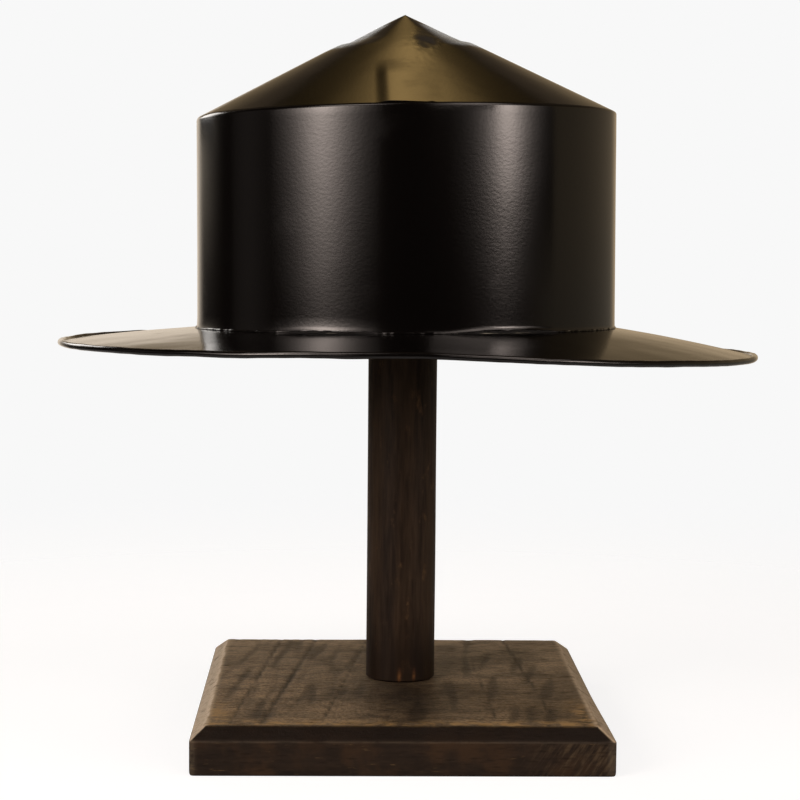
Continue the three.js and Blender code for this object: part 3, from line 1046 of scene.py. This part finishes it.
board_wood, tree, shader, where = new_material("stained_board")
grain = stretched(tree, where, BOARD_GRAIN)
fibre = place_group(tree, fibres, Vector=grain)
pits = place_group(tree, specks, Vector=grain, Scale=1.7, Size=0.9)["Mask"]
clouds = worn_mask(tree, where, 17.0, 0.36)
blotches = worn_mask(tree, where, 48.0, 0.34)
grit = noise_value(tree, Vector=where, Scale=620.0, Detail=3.0, Roughness=0.7)
tone = map_values(tree, calculate(tree, "MULTIPLY", fibre["Tone"], grit), 0.14, 0.38)
side_tone = map_values(tree, fibre["Tone"], 0.3, 0.7)
scrapes = worn_mask(tree, stretched(tree, where, SCRAPE_STRETCH), 75.0, 0.17)
slant = add_node(
    tree, "ShaderNodeMapping", {"vector_type": "TEXTURE"},
    Vector=where, Rotation=SCRATCH_TURN, Scale=SCRATCH_STRETCH,
).outputs[0]

# %% The board's colours, wear, painted light and painted shade
BOARD_STAIN = (0.0075, 0.0045, 0.0026, 1)
BOARD_SIDE = (0.027, 0.0165, 0.0095, 1)
BOARD_WARM = (0.058, 0.03, 0.012, 1)
BOARD_DARK = (0.042, 0.029, 0.016, 1)
BOARD_LIGHT = (0.37, 0.265, 0.15, 1)
BOARD_GOLDEN = (0.36, 0.23, 0.09, 1)
BOARD_SCORED = (0.068, 0.045, 0.024, 1)
BOARD_BARE_AND_PAINTED_LIGHT = (0.52, 0.42, 0.29, 1)

top = blend_colours(tree, tone, BOARD_DARK, BOARD_LIGHT)
# Painted light: the top is paler towards its back.
top = tint(tree, top, BOARD_BARE_AND_PAINTED_LIGHT, mesh_value(tree, "painted_back_light"), 0.5)
top = tint(tree, top, BOARD_DARK, clouds, 0.5)
top = tint(tree, top, BOARD_DARK, blotches, 0.55)
top = tint(tree, top, BOARD_STAIN, mesh_value(tree, "sawn"), 0.9)
top = blend_colours(tree, worn_share(tree, where, "golden", 150.0, 0.4), top, BOARD_GOLDEN)
sides = blend_colours(tree, side_tone, BOARD_STAIN, BOARD_SIDE)
sides = tint(tree, sides, BOARD_WARM, blotches, 0.45)
sides = tint(tree, sides, BOARD_GOLDEN, scrapes, 0.7)
sides = blend_colours(tree, worn_share(tree, slant, "scored", 60.0, 0.36), sides, BOARD_SCORED)
# Top colour against side colour; on the side chamfers their share of the top's colour is painted light.
wood = blend_colours(tree, mesh_value(tree, "rubbed_and_painted_light"), sides, top)
# Painted shade: the post's shadow on the top and the darker front and back chamfers, and the dark front
# edge.
wood = tint(tree, wood, BOARD_STAIN, mesh_value(tree, "painted_shade"), 0.8)
# Bare wood at worn edges and corners; on the side chamfers it is painted light.
wood = blend_colours(tree, worn_share(tree, where, "bare_and_painted_light", 160.0, 0.55), wood, BOARD_BARE_AND_PAINTED_LIGHT)
wood = tint(tree, wood, BOARD_STAIN, pits, 0.55)
fibre_bump = bump(tree, fibre["Height"], 0.4 * MM, Strength=0.8)
grit_bump = bump(tree, grit, 0.5 * MM, Strength=0.7, Normal=fibre_bump)
shader.inputs["Specular IOR Level"].default_value = 0.16
tree.links.new(wood, shader.inputs["Base Color"])
tree.links.new(blend_values(tree, pits, 0.5, 0.75), shader.inputs["Roughness"])
tree.links.new(grit_bump, shader.inputs["Normal"])
print(board_wood.name, "has", len(tree.nodes), "nodes")

# %% [markdown]
# ## Dress the pieces
# Each piece gets its material and rides on the CAD model's one body, and the CAD solid that it replaces is
# hidden. The weld replaces no solid of its own.

# %% Hand the pieces over
for piece, material, slot, node in (
    (wall, paint, "black_paint", "crown_wall"),
    (brim, paint, "black_paint", "brim"),
    (cone, paint, "black_paint", "cone_top"),
    (weld, paint, "black_paint", None),
    (post, post_wood, "post_wood", "stand_post"),
    (board, board_wood, "board_wood", "stand_base"),
):
    piece.data.materials.append(material)
    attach(piece, "root")
    if node:
        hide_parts(node)

# %% [markdown]
# ## Light
# A black hat shows only what it mirrors, so the studio is built for its reflections, from soft boxes.
# Each is a card with a glow that is brightest along its upright middle line, fades sideways over its
# spread, and grows over its rise from a low share of its strength at the lower edge. Area lamps would be
# evenly bright, and the lights on the wall would then have hard edges.

# %% The glow of a soft box
def box_glow(name, height, spread, rise, low, colour, strength):
    """A material that glows like a soft box of that height."""
    glow = bpy.data.materials.new(name)
    glow.use_nodes = True
    tree = glow.node_tree
    tree.nodes.clear()
    place = add_node(tree, "ShaderNodeTexCoord").outputs["Object"]
    place = add_node(tree, "ShaderNodeSeparateXYZ", Vector=place).outputs
    bottom = -height / 2
    power = map_values(tree, place["Y"], bottom, bottom + rise, low * strength, strength, "SMOOTHERSTEP")
    dimming = calculate(tree, "COSH", calculate(tree, "DIVIDE", place["X"], spread))
    power = calculate(tree, "DIVIDE", power, dimming)
    lamp = add_node(tree, "ShaderNodeEmission", Color=(*colour, 1), Strength=power)
    add_node(tree, "ShaderNodeOutputMaterial", Surface=lamp.outputs[0])
    return glow


# %% A soft box
HAT_MIDDLE = Vector((0.003, 0.005, 0.27))


def soft_box(name, azimuth, elevation, lift, size, spread, rise, low, colour, strength, distance=1.7):
    """A glowing card that faces the hat, with azimuth 0 in front and growing to the right. The lift raises
    it without tipping it."""
    a, e = math.radians(azimuth), math.radians(elevation)
    out = Vector((math.sin(a) * math.cos(e), -math.cos(a) * math.cos(e), math.sin(e)))
    x, y = size[0] / 2, size[1] / 2
    card = bpy.data.objects.new(name, bpy.data.meshes.new(name))
    card.data.from_pydata([(-x, -y, 0), (x, -y, 0), (x, y, 0), (-x, y, 0)], [], [(0, 1, 2, 3)])
    card.data.materials.append(box_glow(name, size[1], spread, rise, low, colour, strength))
    card.matrix_world = (
        Matrix.Translation(HAT_MIDDLE + out * distance + Vector((0, 0, lift)))
        @ (-out).to_track_quat("Z", "Y").to_matrix().to_4x4()
    )
    card.visible_camera = False
    card.visible_shadow = False
    scene.collection.objects.link(card)
    print(f"{name} at {[round(v, 2) for v in card.location]}")


# %% [markdown]
# Two boxes in front, left and right, give the wall its two upright lights, and a weak one with a wide
# spread stands above the right one. Two boxes high in front light the board and the ground steel with its
# painted glint. A faint one at the left and a bright one behind the left corner pick out the wall's left
# edge. A warm lamp high behind, with a weaker glow under it, gives the gold on the cone's front.

# %% Set up the lamps
DAYLIGHT = (1.0, 0.85, 0.77)
LAMPLIGHT = (1.0, 0.65, 0.24)
SKYLIGHT = (1.0, 0.95, 0.9)

soft_box("left_box", -46, 0, 0.46, (2.0, 1.1), 0.23, 0.43, 0.09, DAYLIGHT, 11.5)
soft_box("right_box", 51.7, 0, 0.22, (2.0, 0.44), 0.17, 0.22, 0.02, DAYLIGHT, 11.3)
soft_box("right_upper_box", 40, 0, 0.63, (1.8, 0.8), 0.55, 0.3, 0, DAYLIGHT, 2.7)
soft_box("left_top_box", -44, 52, 0, (1.0, 0.9), 0.3, 0.2, 0, DAYLIGHT, 3.2)
soft_box("right_top_box", 46, 52, 0, (1.0, 0.9), 0.3, 0.2, 0, DAYLIGHT, 3.2)
soft_box("left_side_box", -92, 0, 0.2, (0.9, 1.0), 0.3, 0.2, 0.5, DAYLIGHT, 0.13)
soft_box("left_corner_box", -140, 14, 0, (0.7, 0.68), 0.3, 0.22, 0, SKYLIGHT, 4.8)
soft_box("glow_box", 178.6, 43.2, 0, (0.9, 0.32), 0.12, 0.06, 0, LAMPLIGHT, 0.62, distance=1.54)
soft_box("warm_box", 178.6, 52.3, 0, (0.9, 0.3), 0.105, 0.06, 0.2, LAMPLIGHT, 1.75, distance=1.5)

# %% [markdown]
# The room round the hat shows in the brim and at the wall's edges: pale straight behind, dimmer at the
# sides and above, and dark in front. It is the world's colour, worked out from the direction, whose X, Y
# and Z are each 1 at most. Three of its colours differ from right to left. The camera sees plain white.

# %% The room that the hat mirrors
WHITE = (0.939, 0.939, 0.939, 1)
BACK = ((0.62, 0.47, 0.3, 1), (1.1, 0.94, 0.76, 1))
SIDES = ((0.27, 0.21, 0.14, 1), (0.35, 0.3, 0.24, 1))
LOW_SIDES = ((0.2, 0.17, 0.13, 1), (0.03, 0.026, 0.024, 1))
ROOM_ABOVE = (0.26, 0.19, 0.11, 1)
ROOM_HIGH = (0.09, 0.065, 0.042, 1)
ROOM_FRONT = (0.014, 0.011, 0.01, 1)
ROOM_MIDDLE = (0.5, 0.866, 0)


def fade(tree, value, start, end):
    """1 up to start, 0 from end on, smooth between."""
    return map_values(tree, value, start, end, 1.0, 0.0, "SMOOTHSTEP")


scene.world = bpy.data.worlds.new("studio")
scene.world.use_nodes = True
tree = scene.world.node_tree
tree.nodes.clear()
direction = add_node(tree, "ShaderNodeTexCoord").outputs["Generated"]
along = add_node(tree, "ShaderNodeSeparateXYZ", Vector=direction).outputs
towards = add_node(tree, "ShaderNodeVectorMath", {"operation": "DOT_PRODUCT"}, n0=direction, n1=ROOM_MIDDLE)
to_left = fade(tree, along["X"], -0.12, 0.14)
off_back = fade(tree, along["Y"], 0.84, 0.985)
below = fade(tree, along["Z"], -0.045, 0.03)
level = fade(tree, along["Z"], 0.09, 0.2)
middle = fade(tree, along["Z"], 0.22, 0.5)
in_front = fade(tree, towards.outputs["Value"], -0.05, 0.45)
back, sides, low_sides = (blend_colours(tree, to_left, *pair) for pair in (BACK, SIDES, LOW_SIDES))
room = blend_colours(tree, off_back, back, blend_colours(tree, below, sides, low_sides))
room = blend_colours(tree, level, blend_colours(tree, middle, ROOM_HIGH, ROOM_ABOVE), room)
room = blend_colours(tree, in_front, room, ROOM_FRONT)
seen = add_node(tree, "ShaderNodeLightPath").outputs["Is Camera Ray"]
sky = add_node(tree, "ShaderNodeBackground", Color=blend_colours(tree, seen, room, WHITE), Strength=1.0)
add_node(tree, "ShaderNodeOutputWorld", Surface=sky.outputs[0])
scene.view_settings.view_transform = "Standard"
print("World", scene.world.name)

# %% [markdown]
# ## The floor
# The floor is plain and pale. It glows for the camera, so that the board's shadow on it stays faint, and
# fades out at its edge into the white behind it. To everything else it is a dim grey floor.

# %% Lay the floor
FLOOR_RADIUS = 1.0
FLOOR_SEGMENTS = 96

floor = bpy.data.objects.new("floor", bpy.data.meshes.new("floor"))
shape = bmesh.new()
bmesh.ops.create_circle(shape, cap_ends=True, segments=FLOOR_SEGMENTS, radius=FLOOR_RADIUS)
shape.to_mesh(floor.data)
shape.free()
floor.location.z = cad_box[0].z
scene.collection.objects.link(floor)
print("Floor at height", round(floor.location.z, 4))

# %% Make the floor white
FLOOR_GLOW = 0.825
FLOOR_DIM = 0.16
FLOOR_GREY = (0.3, 0.3, 0.3, 1)

floor_white = bpy.data.materials.new("floor_white")
floor_white.use_nodes = True
tree = floor_white.node_tree
tree.nodes.clear()
where = add_node(tree, "ShaderNodeTexCoord").outputs["Object"]
from_middle = add_node(tree, "ShaderNodeVectorMath", {"operation": "LENGTH"}, n0=where).outputs["Value"]
solid = fade(tree, from_middle, 0.25 * FLOOR_RADIUS, 0.98 * FLOOR_RADIUS)
seen = add_node(tree, "ShaderNodeLightPath").outputs["Is Camera Ray"]
matt = add_node(tree, "ShaderNodeBsdfDiffuse", Color=FLOOR_GREY)
glow = add_node(tree, "ShaderNodeEmission", Strength=blend_values(tree, seen, FLOOR_DIM, FLOOR_GLOW))
lit = add_node(tree, "ShaderNodeAddShader", n0=matt.outputs[0], n1=glow.outputs[0])
clear = add_node(tree, "ShaderNodeBsdfTransparent")
faded = add_node(tree, "ShaderNodeMixShader", n0=solid, n1=clear.outputs[0], n2=lit.outputs[0])
add_node(tree, "ShaderNodeOutputMaterial", Surface=faded.outputs[0])
floor.data.materials.append(floor_white)
print("Material", floor_white.name)
